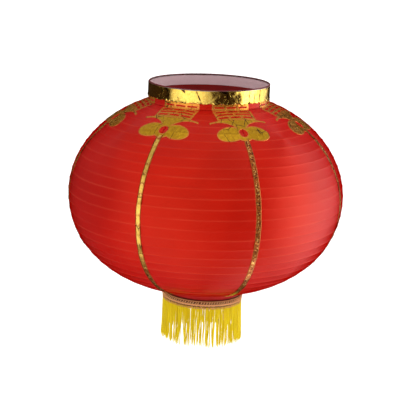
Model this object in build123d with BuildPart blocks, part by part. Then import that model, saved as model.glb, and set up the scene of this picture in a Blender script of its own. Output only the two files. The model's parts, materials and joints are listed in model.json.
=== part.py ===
from build123d import *
from math import acos, asin, cos, hypot, sin
import os

# A round satin lantern: seven cloth gores over a cage of wire hoops, between a
# foil-wrapped collar above and a small foot ring with a gold fringe below.
# A bent-wire expander stands inside and holds the cage open. The lantern hangs
# from the eye at the top of the expander, and the origin is the inside of the
# top of that eye, where the hanging string bears. +Z is up. Millimetres.

# Cloth body: the radius is BODY_RADIUS at the equator, and each half follows
# (radius / BODY_RADIUS) ** m + (height / depth) ** n = 1
BODY_RADIUS = 210
EQUATOR_Z = -144
UPPER_DEPTH, UPPER_N, UPPER_M = 154.4, 1.93, 2.20
LOWER_DEPTH, LOWER_N, LOWER_M = 151.0, 2.07, 2.37
CLOTH = 0.4
GORE_COUNT = 7
FRONT_AZIMUTH = -90                      # the middle of gore 1 faces -Y
FRONT_GORE_ANGLE = 47.6                  # gore 1 is cut a little narrower than the rest
OTHER_GORE_ANGLE = (360 - FRONT_GORE_ANGLE) / (GORE_COUNT - 1)

# Collar, from the inside out, and the wires at its two edges
COLLAR_INNER = 90.0
COLLAR_WALL = 0.8
RIM_Z = 26
LINER_HEIGHT = 14.5
FOIL_WRAP_HEIGHT = 18.6
SKIN = 0.5                               # liner, foil wrap, cloth cover and tapes
LAYER_GAP = 0.1
RIM_WIRE = 1.1                           # wire sizes are radii
BASE_WIRE = 0.9
BINDING_HEIGHT = 2.9
BINDING_WALL = 0.35

# Foot, from the inside out, with its trim
FOOT_INNER = 57.6
FOOT_HEIGHT = 22
BRAID_HEIGHT = 12.6
BRAID_THICK = 2.5
FRINGE_LENGTH = 62
FRINGE_THICK = 2.6

# Wire frame
HOOP_COUNT = 28
HOOP_WIRE = 0.6
EXPANDER_WIRE = 1.3
CLEARANCE = 0.3

# Gold foil glued over each seam: a narrow strip, and a motif below the collar
FOIL = 0.3
FOIL_GLUE = 0.05
STRIP_WIDTH = 8
MOTIF_LOWEST = 107                       # height above the equator where a motif ends

COLLAR_OUTER = COLLAR_INNER + COLLAR_WALL
FOOT_OUTER = FOOT_INNER + COLLAR_WALL


def parameter_at(radius, m):
    """Meridian parameter, 0 at the equator, at which one half has this radius."""
    return acos((radius / BODY_RADIUS) ** (m / 2))


def on_meridian(t):
    """(radius, z) of the cloth's outer face. t is above 0 in the upper half."""
    depth, n, m = (UPPER_DEPTH, UPPER_N, UPPER_M) if t > 0 else (LOWER_DEPTH, LOWER_N, LOWER_M)
    height = depth * sin(abs(t)) ** (2 / n)
    radius = BODY_RADIUS * cos(t) ** (2 / m)
    return radius, EQUATOR_Z + (height if t > 0 else -height)


def inset_point(t, inset):
    """The meridian point moved inwards along the cloth's normal."""
    step = 0.01
    below, above = on_meridian(t - step), on_meridian(t + step)
    along = (above[0] - below[0], above[1] - below[1])
    length = hypot(*along)
    radius, z = on_meridian(t)
    return radius - inset * along[1] / length, z + inset * along[0] / length


def spread(start, end, steps):
    """Evenly spaced values from start to end."""
    return [start + (end - start) * k / steps for k in range(steps + 1)]


def meridian_plane(azimuth):
    """The upright half-plane at an azimuth: local x is the radius and local y is z."""
    outward = Vector(1, 0, 0).rotate(Axis.Z, azimuth)
    return Plane(origin=(0, 0, 0), x_dir=outward, z_dir=outward.cross(Vector(0, 0, 1)))


def seam_azimuth(k):
    """Azimuth of seam k. Gore k + 1 lies between seam k and seam k + 1."""
    if k == 0:
        return FRONT_AZIMUTH - FRONT_GORE_ANGLE / 2
    return FRONT_AZIMUTH + FRONT_GORE_ANGLE / 2 + (k - 1) * OTHER_GORE_ANGLE


def plan_plane(azimuth, z):
    """A level plane: local x runs round the lantern and local y points outwards."""
    outward = Vector(1, 0, 0).rotate(Axis.Z, azimuth)
    return Plane(origin=(0, 0, z), x_dir=outward.cross(Vector(0, 0, 1)), z_dir=(0, 0, 1))


def save(builder, name):
    """Label a finished piece and write its file."""
    builder.part.label = name
    export_step(builder.part, f"parts/{name}.step")


def layer_profile(azimuth, t_low, t_high, outer_inset, inner_inset):
    """Section of a thin layer that follows the meridian, in its upright plane."""
    stations = spread(t_low, t_high, 16)
    with BuildSketch(meridian_plane(azimuth)) as profile:
        with BuildLine():
            outer = Spline(*[inset_point(t, outer_inset) for t in stations])
            inner = Spline(*[inset_point(t, inner_inset) for t in stations])
            Line(outer @ 0, inner @ 0)
            Line(outer @ 1, inner @ 1)
        make_face()
    return profile.sketch


def tube_ring(name, inner, thickness, bottom, top):
    """A plain upright band that goes all the way round."""
    with BuildPart() as band:
        with BuildSketch(meridian_plane(0)):
            with Locations((inner + thickness / 2, (bottom + top) / 2)):
                Rectangle(thickness, top - bottom)
        revolve(axis=Axis.Z)
    save(band, name)


def wire_ring(name, radius, z, wire):
    """A round wire bent into a level ring."""
    with BuildPart() as ring:
        with BuildSketch(meridian_plane(0)):
            with Locations((radius, z)):
                Circle(wire)
        revolve(axis=Axis.Z)
    save(ring, name)


def motif_outline(plane):
    """Plan of one foil motif: two lobes round a hole, a flared bar and a window fret."""
    lobe_middle, lobe_reach, lobe_depth = 141.5, 20, 12
    tip_reach, tip_low, tip_high = 43, 119.6, 122.8
    fret_half, fret_low, fret_high = 29.5, 90.5, 115
    bar = 3.4
    rows = 3
    pitch = (fret_high - fret_low - bar) / rows
    with BuildSketch(plane) as outline:
        with Locations((-lobe_reach, lobe_middle), (lobe_reach, lobe_middle)):
            Ellipse(20, lobe_depth)
        with Locations((0, lobe_middle + 1)):
            Ellipse(14, lobe_depth)
        with BuildLine():
            Line((-tip_reach, tip_low), (-fret_half, fret_high))
            Line((-fret_half, fret_high), (fret_half, fret_high))
            Line((fret_half, fret_high), (tip_reach, tip_low))
            Line((tip_reach, tip_low), (tip_reach, tip_high))
            ThreePointArc((tip_reach, tip_high), (17, 124), (7, 134))
            Line((7, 134), (-7, 134))
            ThreePointArc((-7, 134), (-17, 124), (-tip_reach, tip_high))
            Line((-tip_reach, tip_high), (-tip_reach, tip_low))
        make_face()
        with Locations((0, (fret_low + fret_high) / 2)):
            Rectangle(2 * fret_half, fret_high - fret_low)
        with Locations((0, lobe_middle)):
            Circle(6.3, mode=Mode.SUBTRACT)
        # rows of windows, set off from one row to the next like bricks
        for row in range(rows):
            y = fret_low + bar / 2 + pitch * (row + 0.5)
            windows = 3 if row % 2 == 0 else 2
            width = (2 * fret_half - bar) / windows
            with Locations((0, y)), GridLocations(width, pitch, windows, 1):
                Rectangle(width - bar, pitch - bar, mode=Mode.SUBTRACT)
    return outline.sketch


os.makedirs("parts", exist_ok=True)

# The cloth runs from the foot's cover up to the collar's foil.
t_top = parameter_at(COLLAR_OUTER + SKIN / 2, UPPER_M)
t_foot = -parameter_at(FOOT_OUTER + SKIN, LOWER_M)
collar_base_z = on_meridian(t_top)[1]
foot_top_z = on_meridian(t_foot)[1]
foot_base_z = foot_top_z - FOOT_HEIGHT
braid_top_z = foot_base_z + BRAID_HEIGHT

# --- Gores and the foil over their seams ---
for k in range(GORE_COUNT):
    seam = seam_azimuth(k)
    gore_arc = FRONT_GORE_ANGLE if k == 0 else OTHER_GORE_ANGLE
    with BuildPart() as gore:
        add(layer_profile(seam, t_foot, t_top, 0, CLOTH))
        revolve(axis=Axis.Z, revolution_arc=gore_arc)
    save(gore, f"gore_{k + 1}")

t_motif = asin((MOTIF_LOWEST / UPPER_DEPTH) ** (UPPER_N / 2))
for k in range(GORE_COUNT):
    seam = seam_azimuth(k)
    motif_arc = 52
    with BuildPart() as motif:
        add(layer_profile(seam - motif_arc / 2, t_motif, t_top, -FOIL_GLUE - FOIL, -FOIL_GLUE))
        revolve(axis=Axis.Z, revolution_arc=motif_arc)
        extrude(motif_outline(plan_plane(seam, EQUATOR_Z)), amount=2 * UPPER_DEPTH, mode=Mode.INTERSECT)
    strip_arc = 12
    with BuildPart() as strip:
        add(layer_profile(seam - strip_arc / 2, t_foot, t_motif, -FOIL_GLUE - FOIL, -FOIL_GLUE))
        revolve(axis=Axis.Z, revolution_arc=strip_arc)
        with BuildSketch(plan_plane(seam, foot_base_z)):
            with Locations((0, BODY_RADIUS / 2 + 10)):
                Rectangle(STRIP_WIDTH, BODY_RADIUS)
        extrude(amount=2 * UPPER_DEPTH + LOWER_DEPTH, mode=Mode.INTERSECT)
    with BuildPart() as foil_band:
        add(motif.part)
        add(strip.part)
    save(foil_band, f"foil_band_{k + 1}")

# --- Collar ---
band_top_z = RIM_Z - BINDING_WALL - 2 * RIM_WIRE - 2 * LAYER_GAP
liner_inner = COLLAR_INNER - LAYER_GAP - SKIN
tube_ring("collar_band", COLLAR_INNER, COLLAR_WALL, collar_base_z, band_top_z)
tube_ring("collar_liner", liner_inner, SKIN, band_top_z - LINER_HEIGHT, band_top_z)
tube_ring("top_hem_tape", liner_inner, SKIN, collar_base_z, band_top_z - LINER_HEIGHT - LAYER_GAP)

# The cloth turns up outside the collar, and the foil wrap starts above its edge.
outside = COLLAR_OUTER + LAYER_GAP
foil_base_z = band_top_z - FOIL_WRAP_HEIGHT
tube_ring("collar_hem", outside, SKIN, collar_base_z + 0.6, foil_base_z - LAYER_GAP)
tube_ring("collar_foil_wrap", outside, SKIN, foil_base_z, band_top_z)

collar_middle = COLLAR_INNER + COLLAR_WALL / 2
wire_ring("rim_wire", collar_middle, RIM_Z - BINDING_WALL - LAYER_GAP - RIM_WIRE, RIM_WIRE)
base_wire_radius = liner_inner - LAYER_GAP - BASE_WIRE
base_wire_z = collar_base_z + BASE_WIRE
wire_ring("collar_base_wire", base_wire_radius, base_wire_z, BASE_WIRE)

groove_half = RIM_WIRE + LAYER_GAP
with BuildPart() as rim_binding:
    with BuildSketch(meridian_plane(0)):
        with Locations((collar_middle, RIM_Z - BINDING_HEIGHT / 2)):
            Rectangle(2 * (groove_half + BINDING_WALL), BINDING_HEIGHT)
        with Locations((collar_middle, RIM_Z - BINDING_WALL - BINDING_HEIGHT / 2)):
            Rectangle(2 * groove_half, BINDING_HEIGHT, mode=Mode.SUBTRACT)
    revolve(axis=Axis.Z)
save(rim_binding, "rim_binding")

# --- Foot ---
cover_inner = FOOT_OUTER + LAYER_GAP
heading_inner = cover_inner + SKIN + LAYER_GAP
braid_inner = heading_inner + SKIN + LAYER_GAP
foot_band_top_z = foot_top_z - CLEARANCE - FOIL - SKIN / 2
tube_ring("foot_band", FOOT_INNER, COLLAR_WALL, foot_base_z, foot_band_top_z)
tube_ring("foot_cover", cover_inner, SKIN, foot_base_z, foot_band_top_z)
tube_ring("fringe_heading", heading_inner, SKIN, foot_base_z, braid_top_z)

foot_ring_radius = FOOT_INNER - LAYER_GAP - BASE_WIRE
foot_ring_z = foot_top_z - 2
wire_ring("foot_ring_wire", foot_ring_radius, foot_ring_z, BASE_WIRE)

with BuildPart() as gimp_braid:
    with BuildSketch(meridian_plane(0)) as braid_section:
        with Locations((braid_inner + BRAID_THICK / 2, foot_base_z + BRAID_HEIGHT / 2)):
            Rectangle(BRAID_THICK, BRAID_HEIGHT)
        fillet(braid_section.vertices(), BRAID_THICK / 3)
    revolve(axis=Axis.Z)
save(gimp_braid, "gimp_braid")

fringe_top_z = foot_base_z - LAYER_GAP
tube_ring("fringe_skirt", heading_inner, FRINGE_THICK, fringe_top_z - FRINGE_LENGTH, fringe_top_z)

# The crossbar lies across the foot ring and is welded to it with a slight bite.
weld_bite = 0.1
crossbar_z = foot_ring_z + BASE_WIRE + EXPANDER_WIRE - weld_bite
crossbar_half = FOOT_INNER - CLEARANCE
with BuildPart() as foot_crossbar:
    with BuildSketch(Plane.XZ.offset(-crossbar_half)):
        with Locations((0, crossbar_z)):
            Circle(EXPANDER_WIRE)
    extrude(amount=2 * crossbar_half)
save(foot_crossbar, "foot_crossbar")

# --- Hoops, evenly spaced along the meridian, just inside the cloth ---
fine = spread(t_top, t_foot, 4000)
arc_lengths = [0.0]
for start, end in zip(fine, fine[1:]):
    (radius_a, z_a), (radius_b, z_b) = on_meridian(start), on_meridian(end)
    arc_lengths.append(arc_lengths[-1] + hypot(radius_b - radius_a, z_b - z_a))
hoop_inset = CLOTH + CLEARANCE + HOOP_WIRE
for k in range(1, HOOP_COUNT + 1):
    wanted = arc_lengths[-1] * k / (HOOP_COUNT + 1)
    t_hoop = next(t for t, arc in zip(fine, arc_lengths) if arc >= wanted)
    hoop_radius, hoop_z = inset_point(t_hoop, hoop_inset)
    wire_ring(f"hoop_{k:02d}", hoop_radius, hoop_z, HOOP_WIRE)
    print(f"hoop_{k:02d} radius {hoop_radius:.2f} z {hoop_z:.2f}")
print(f"meridian {arc_lengths[-1]:.1f} collar base {collar_base_z:.2f} foot top {foot_top_z:.2f}")

# --- Expander: one bent wire, an eye above two spring kinks, legs and a saddle ---
kink_reach = base_wire_radius - BASE_WIRE - CLEARANCE - EXPANDER_WIRE
kink_top_z, kink_foot_z = base_wire_z + 10, base_wire_z - 10
leg_x = 44
run_z = crossbar_z + 0.4
saddle_z = crossbar_z + 2 * EXPANDER_WIRE + CLEARANCE
half_path = [
    (0, EXPANDER_WIRE),
    (6, EXPANDER_WIRE),
    (6, -11),
    (1.9, -16),
    (1.9, -24),
    (60, -15),
    (kink_reach, kink_top_z),
    (kink_reach, kink_foot_z),
    (leg_x, -96),
    (leg_x, run_z),
    (9, run_z),
    (5, saddle_z),
    (0, saddle_z),
]
bends = [4.5, 5, 3, 3.4, 20, 3, 12, 60, 12, 3, 3]
with BuildPart() as expander:
    with BuildLine(Plane.XZ) as wire_path:
        FilletPolyline(*half_path, radius=bends)
    with BuildSketch(Plane.YZ):
        with Locations((0, EXPANDER_WIRE)):
            Circle(EXPANDER_WIRE)
    sweep(path=wire_path.line)
    mirror(about=Plane.YZ)
save(expander, "expander")
print("expander half-width", expander.part.bounding_box().max.X, "limit", kink_reach + EXPANDER_WIRE)
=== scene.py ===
import json
import math

import bpy
import numpy as np
from mathutils import Matrix, Vector


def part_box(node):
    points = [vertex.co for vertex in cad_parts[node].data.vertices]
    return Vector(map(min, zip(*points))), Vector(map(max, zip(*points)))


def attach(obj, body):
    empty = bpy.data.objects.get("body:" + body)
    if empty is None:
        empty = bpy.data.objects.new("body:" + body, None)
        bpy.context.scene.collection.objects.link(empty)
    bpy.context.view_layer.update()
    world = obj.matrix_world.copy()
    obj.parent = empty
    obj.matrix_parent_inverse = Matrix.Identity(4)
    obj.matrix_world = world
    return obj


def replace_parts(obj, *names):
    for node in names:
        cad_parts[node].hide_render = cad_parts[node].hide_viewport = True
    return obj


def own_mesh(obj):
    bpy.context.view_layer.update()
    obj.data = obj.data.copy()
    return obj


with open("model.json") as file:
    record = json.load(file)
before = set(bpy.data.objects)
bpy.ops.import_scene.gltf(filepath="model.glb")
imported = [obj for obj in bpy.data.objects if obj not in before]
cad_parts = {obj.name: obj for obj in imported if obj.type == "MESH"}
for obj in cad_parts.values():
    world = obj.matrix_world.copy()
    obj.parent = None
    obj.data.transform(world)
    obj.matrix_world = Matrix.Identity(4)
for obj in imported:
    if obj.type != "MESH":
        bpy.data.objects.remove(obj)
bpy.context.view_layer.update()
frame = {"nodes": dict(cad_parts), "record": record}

MM = 0.001

# ------------------------------------------------------------------ sizes
# The body's outline is a superellipse above the equator and another one below it:
# depth in metres, then the two exponents.
UPPER = (0.1544, 1.93, 2.20)
LOWER = (0.1510, 2.07, 2.37)
COLLAR_RADIUS = 91.05 * MM
FOOT_RADIUS = 58.9 * MM
BODY_RADIUS = -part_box("gore_1")[0].y
COLLAR_BASE_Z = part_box("gore_1")[1].z

GORES = 7
FRONT_GORE = math.radians(47.6)
OTHER_GORE = (2 * math.pi - FRONT_GORE) / (GORES - 1)
FRONT = -math.pi / 2
HOOPS = 28
# The cloth is drawn thinner than the CAD's 0.4 mm, so that the hoops stay under it when folded.
CLOTH = 0.10 * MM

RIDGE = 0.32 * MM
RIDGE_WIDTH = 0.95 * MM
SAG = 0.15 * MM
PUCKER = 0.04 * MM
PUCKER_REACH = 8 * MM
WAVE = 0.11 * MM

# Half the width of the gold strip over each seam, in millimetres.
STRIP_HALF = 4.0


# ------------------------------------------------------------------ meridian
def superellipse(t):
    """Radius and height above the equator at an angle: positive above, negative below."""
    t = np.asarray(t, float)
    depth = np.where(t > 0, UPPER[0], LOWER[0])
    n = np.where(t > 0, UPPER[1], LOWER[1])
    m = np.where(t > 0, UPPER[2], LOWER[2])
    radius = BODY_RADIUS * np.cos(t) ** (2 / m)
    height = np.sign(t) * depth * np.abs(np.sin(t)) ** (2 / n)
    return radius, height


def angle_at(radius, half):
    return math.acos((radius / BODY_RADIUS) ** (half[2] / 2))


T_TOP = angle_at(COLLAR_RADIUS, UPPER)
T_FOOT = -angle_at(FOOT_RADIUS, LOWER)
EQUATOR_Z = COLLAR_BASE_Z - float(superellipse(T_TOP)[1])
TABLE_T = np.linspace(T_TOP, T_FOOT, 6001)
TABLE_R, TABLE_Z = superellipse(TABLE_T)
TABLE_Z = TABLE_Z + EQUATOR_Z
STEPS = np.hypot(np.diff(TABLE_R), np.diff(TABLE_Z))
TABLE_S = np.concatenate([[0], np.cumsum(STEPS)])
LENGTH = float(TABLE_S[-1])
PITCH = LENGTH / (HOOPS + 1)
SLOPE_R = np.gradient(TABLE_R, TABLE_S)
SLOPE_Z = np.gradient(TABLE_Z, TABLE_S)
WIDEST = int(np.argmax(TABLE_R))


def meridian(s):
    """Radius, height and outward normal at a distance along the meridian from the collar."""
    r = np.interp(s, TABLE_S, TABLE_R)
    z = np.interp(s, TABLE_S, TABLE_Z)
    tr = np.interp(s, TABLE_S, SLOPE_R)
    tz = np.interp(s, TABLE_S, SLOPE_Z)
    size = np.hypot(tr, tz)
    return r, z, -tz / size, tr / size


def shoulder_distance(radius):
    """How far along the meridian the upper half reaches a radius."""
    return np.interp(radius, TABLE_R[: WIDEST + 1], TABLE_S[: WIDEST + 1])


# ------------------------------------------------------------------ noise
def ripple(points, wavelength, seed, waves=9):
    """Smooth seeded noise over points in space, mostly between -1 and 1."""
    rng = np.random.default_rng(seed)
    total = np.zeros(points.shape[:-1])
    for _ in range(waves):
        way = rng.normal(size=3)
        way = way / np.linalg.norm(way)
        turn = 2 * math.pi / (wavelength * rng.uniform(0.7, 1.4))
        total = total + np.sin(points @ way * turn + rng.uniform(0, 2 * math.pi))
    return total / math.sqrt(waves)


def creases(u, v, count, width, height, steep, reach, seed):
    """Facets with sharp creases: a sum of tent-shaped folds, each in its own patch."""
    rng = np.random.default_rng(seed)
    total = np.zeros(np.shape(u))
    for _ in range(count):
        cu, cv = rng.uniform(0, width), rng.uniform(0, height)
        turn = rng.uniform(0, math.pi)
        size = rng.uniform(*reach)
        tilt = rng.choice([-1, 1]) * rng.uniform(*steep)
        du = (u - cu + width / 2) % width - width / 2
        dv = v - cv
        across = du * math.cos(turn) + dv * math.sin(turn)
        total = total + tilt * np.abs(across) * np.exp(-(du**2 + dv**2) / size**2)
    return total


# ------------------------------------------------------------------ cloth surface
def seam(k):
    """Azimuth of the seam before gore k + 1, and of foil band k + 1."""
    if k == 0:
        return FRONT - FRONT_GORE / 2
    return FRONT + FRONT_GORE / 2 + (k - 1) * OTHER_GORE


def seam_distance(azimuth, radius):
    """Distance to the nearest seam between two gores."""
    away = [np.abs((azimuth - seam(k) + math.pi) % (2 * math.pi) - math.pi) for k in range(GORES)]
    return np.min(away, axis=0) * radius


def hoop_distance(s):
    share = s / PITCH
    return np.abs(share - np.round(share)) * PITCH


def around(radius, azimuth, z):
    return np.stack([radius * np.cos(azimuth), radius * np.sin(azimuth), z], -1)


def cloth_relief(azimuth, s, r, z):
    """How far the cloth stands off the smooth meridian: ridges over the hoops, sag between."""
    place = around(r, azimuth, z)
    near = hoop_distance(s)
    strength = 0.85 + 0.2 * ripple(place * (1, 1, 3), 0.07, 11)
    ridge = RIDGE * (np.exp(-((near / RIDGE_WIDTH) ** 2)) - 1) * strength
    share = (s / PITCH) % 1
    sag = -SAG * 4 * share * (1 - share) * (1 + 0.5 * ripple(place, 0.05, 12))
    edge = np.exp(-seam_distance(azimuth, r) / PUCKER_REACH)
    pucker = -PUCKER * edge * (1 + ripple(place * (0.4, 0.4, 1), 0.008, 13)) * (near > 1.0e-4)
    wave = WAVE * ripple(place, 0.06, 14) * np.clip(near / (3 * MM), 0, 1)
    return ridge + sag + pucker + wave


def skin(azimuth, s, lift=0.0):
    """Points on the stretched cloth, lifted along its normal."""
    r, z, nr, nz = meridian(s)
    off = cloth_relief(azimuth, s, r, z) + lift
    return around(r + nr * off, azimuth, z + nz * off)


# ------------------------------------------------------------------ mesh tools
def grid_faces(rows, columns, ring=False):
    """Quads over a grid whose rows run down and columns round, facing outward."""
    faces = []
    last = columns if ring else columns - 1
    for i in range(rows - 1):
        for j in range(last):
            a, b = i * columns + j, i * columns + (j + 1) % columns
            faces.append((a, a + columns, b + columns, b))
    return faces


def thick(top, bottom, faces):
    """A closed shell from an outer and an inner surface that share their faces."""
    count = len(top)
    directed = {(f[i], f[(i + 1) % len(f)]) for f in faces for i in range(len(f))}
    rim = [(b, a, a + count, b + count) for a, b in sorted(directed) if (b, a) not in directed]
    back = [tuple(i + count for i in reversed(f)) for f in faces]
    return np.concatenate([top, bottom]), list(faces) + back + rim


def joined(parts):
    """Several (vertices, faces) pairs as one, with the index of the part of each vertex."""
    points, faces, owner, start = [], [], [], 0
    for index, (verts, polys) in enumerate(parts):
        points.append(verts)
        faces.extend(tuple(i + start for i in f) for f in polys)
        owner.append(np.full(len(verts), index))
        start += len(verts)
    return np.concatenate(points), faces, np.concatenate(owner)


def piece(name, verts, faces, uv=None, smooth=True, **values):
    """A mesh object with a UV map in metres and named numbers on its points."""
    mesh = bpy.data.meshes.new(name)
    mesh.from_pydata(np.asarray(verts, float).tolist(), [], faces)
    mesh.polygons.foreach_set("use_smooth", [smooth] * len(mesh.polygons))
    if uv is not None:
        corner = np.zeros(len(mesh.loops), np.int32)
        mesh.loops.foreach_get("vertex_index", corner)
        layer = mesh.uv_layers.new(name="UVMap")
        layer.data.foreach_set("uv", np.asarray(uv, np.float32)[corner].ravel())
    for key, numbers in values.items():
        attribute = mesh.attributes.new(key, "FLOAT", "POINT")
        attribute.data.foreach_set("value", np.asarray(numbers, np.float32).ravel())
    mesh.validate()
    mesh.update()
    obj = bpy.data.objects.new(name, mesh)
    bpy.context.scene.collection.objects.link(obj)
    return obj


def tube(path, radii, sides, flat=1.0, up=None):
    """A round or flattened tube along a path, closed with a fan of triangles at each end."""
    path = np.asarray(path, float)
    radii = np.broadcast_to(radii, len(path))
    way = np.gradient(path, axis=0)
    way = way / np.linalg.norm(way, axis=1, keepdims=True)
    side = np.cross(way, np.array((0.0, 0.0, 1.0) if up is None else up))
    small = np.linalg.norm(side, axis=1) < 1e-6
    side[small] = (1.0, 0.0, 0.0)
    side = side / np.linalg.norm(side, axis=1, keepdims=True)
    other = np.cross(way, side)
    turn = np.arange(sides) * 2 * math.pi / sides
    ring = np.cos(turn)[None, :, None] * side[:, None] * flat
    ring = ring + np.sin(turn)[None, :, None] * other[:, None]
    verts = (path[:, None] + ring * radii[:, None, None]).reshape(-1, 3)
    faces = grid_faces(len(path), sides, ring=True)
    first, last = len(verts), len(verts) + 1
    verts = np.concatenate([verts, path[:1], path[-1:]])
    base = (len(path) - 1) * sides
    for j in range(sides):
        k = (j + 1) % sides
        faces.append((first, j, k))
        faces.append((last, base + k, base + j))
    return verts, faces


def loop_tube(radius, z, thick_mm, sides=8, steps=240, flat=1.0, wobble=0.0, seed=0):
    """A closed ring of round or flattened section about the lantern's axis."""
    turn = np.arange(steps) * 2 * math.pi / steps
    section = np.arange(sides) * 2 * math.pi / sides
    size = thick_mm * MM / 2
    a, b = np.meshgrid(section, turn)
    place = around(np.full_like(b, radius), b, np.full_like(b, z))
    size = size * (1 + wobble * ripple(place, 0.006, seed))
    r = radius + size * flat * np.cos(a)
    verts = around(r, b, z + size * np.sin(a)).reshape(-1, 3)
    faces = []
    for i in range(steps):
        for j in range(sides):
            k, n = (j + 1) % sides, (i + 1) % steps
            faces.append((i * sides + j, n * sides + j, n * sides + k, i * sides + k))
    uv = np.stack([b * radius, a * thick_mm * MM / 2], -1).reshape(-1, 2)
    return verts, faces, uv


# ------------------------------------------------------------------ shader tools
def add(tree, kind, values=None, **props):
    """A node with its settings, whose inputs are numbers or other nodes' outputs."""
    made = tree.nodes.new(kind)
    for key, value in props.items():
        setattr(made, key, value)
    for key, value in (values or {}).items():
        if isinstance(value, bpy.types.NodeSocket):
            tree.links.new(value, made.inputs[key])
        else:
            made.inputs[key].default_value = value
    return made


def math_node(tree, operation, a, b=None, c=None, clamp=False):
    values = {i: v for i, v in enumerate((a, b, c)) if v is not None}
    return add(tree, "ShaderNodeMath", values, operation=operation, use_clamp=clamp).outputs[0]


def mix(tree, share, a, b, blend="MIX"):
    made = add(tree, "ShaderNodeMix", data_type="RGBA", blend_type=blend)
    for key, value in ((0, share), (6, a), (7, b)):
        if isinstance(value, bpy.types.NodeSocket):
            tree.links.new(value, made.inputs[key])
        else:
            made.inputs[key].default_value = value
    return made.outputs[2]


def ramp(tree, value, low, high):
    """0 below low, 1 above high."""
    values = {"Value": value, "From Min": low, "From Max": high}
    made = add(tree, "ShaderNodeMapRange", values, clamp=True, interpolation_type="SMOOTHSTEP")
    return made.outputs["Result"]


def noise(tree, place, scale, detail=3.0, rough=0.5):
    values = {"Vector": place, "Scale": scale, "Detail": detail, "Roughness": rough}
    return add(tree, "ShaderNodeTexNoise", values).outputs["Fac"]


def stretched(tree, place, scale):
    values = {"Vector": place, "Scale": scale}
    return add(tree, "ShaderNodeMapping", values).outputs["Vector"]


def bump(tree, height, distance, strength=1.0, normal=None):
    values = {"Height": height, "Distance": distance, "Strength": strength}
    if normal is not None:
        values["Normal"] = normal
    return add(tree, "ShaderNodeBump", values).outputs["Normal"]


def attribute(tree, name):
    return add(tree, "ShaderNodeAttribute", attribute_name=name).outputs["Fac"]


def material(name, **settings):
    """A new node material: its tree, its shader and where it reads positions."""
    made = bpy.data.materials.new(name)
    made.use_nodes = True
    tree = made.node_tree
    shader = tree.nodes["Principled BSDF"]
    for key, value in settings.items():
        shader.inputs[key.replace("_", " ")].default_value = value
    place = add(tree, "ShaderNodeTexCoord")
    return made, tree, shader, place


def plug(tree, shader, **sockets):
    for key, socket in sockets.items():
        tree.links.new(socket, shader.inputs[key.replace("_", " ")])


def rgb(red, green, blue):
    return (red, green, blue, 1.0)


# ------------------------------------------------------------------ materials
def satin(name, turn):
    """Red polyester satin: fine floats across the gore and a soft sheen, with a painted highlight along
    each rib, painted sheen from seam to seam and painted shade where the cloth turns edge-on.
    """
    made, tree, shader, place = material(
        name,
        Roughness=0.42,
        IOR=2.0,
        Specular_Tint=rgb(1.0, 0.15, 0.065),
        Anisotropic=0.8,
        Anisotropic_Rotation=0.25 + turn,
    )
    uv = place.outputs["UV"]
    tangent = add(tree, "ShaderNodeTangent", direction_type="RADIAL", axis="Z").outputs[0]
    plug(tree, shader, Tangent=tangent)
    cloud = noise(tree, uv, 14.0, 2.0)
    streak = noise(tree, stretched(tree, uv, (60.0, 1500.0, 1.0)), 1.0, 4.0)
    colour = mix(tree, ramp(tree, cloud, 0.3, 0.7), rgb(0.52, 0.0012, 0.0001), rgb(0.58, 0.0022, 0.0002))
    colour = mix(tree, math_node(tree, "MULTIPLY", ramp(tree, streak, 0.5, 0.8), 0.2), colour,
                 rgb(0.66, 0.009, 0.002))
    # Painted sheen: each gore's colour is made brighter or darker from seam to seam.
    nap = add(tree, "ShaderNodeCombineColor", {i: attribute(tree, "nap") for i in range(3)}).outputs[0]
    colour = mix(tree, 1.0, colour, nap, "MULTIPLY")
    # Painted highlight: the colour is lightened along each rib over a hoop, fading in and out along it.
    fade = ramp(tree, noise(tree, stretched(tree, uv, (9.0, 40.0, 1.0)), 1.0, 2.0), 0.35, 0.65)
    line = math_node(tree, "MULTIPLY", attribute(tree, "rib"), fade)
    line = math_node(tree, "MULTIPLY_ADD", attribute(tree, "rib"), 0.06, math_node(
        tree, "MULTIPLY", line, 0.30), clamp=True)
    colour = mix(tree, line, colour, rgb(0.76, 0.070, 0.032))
    weave = add(tree, "ShaderNodeTexWave", {
        "Vector": uv, "Scale": 900.0, "Distortion": 1.2, "Detail": 2.0, "Detail Scale": 1.5,
    }, bands_direction="Y").outputs["Fac"]
    height = math_node(tree, "ADD", math_node(tree, "MULTIPLY", weave, 0.35), streak)
    facing = add(tree, "ShaderNodeLayerWeight", {"Blend": 0.5}).outputs["Facing"]
    # Painted shade: the colour darkens where the cloth turns edge-on to the view, standing in for the dark
    # reflection along its outline.
    painted_edge_shade = math_node(tree, "MULTIPLY", ramp(tree, facing, 0.62, 0.96), 0.62)
    colour = mix(tree, painted_edge_shade, colour, rgb(0.16, 0.003, 0.002))
    shine = math_node(tree, "MULTIPLY_ADD", ramp(tree, facing, 0.30, 0.86), -0.5, 0.5)
    plug(tree, shader, Base_Color=colour, Specular_IOR_Level=shine,
         Normal=bump(tree, height, 0.00012, 0.5))
    return made


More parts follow.
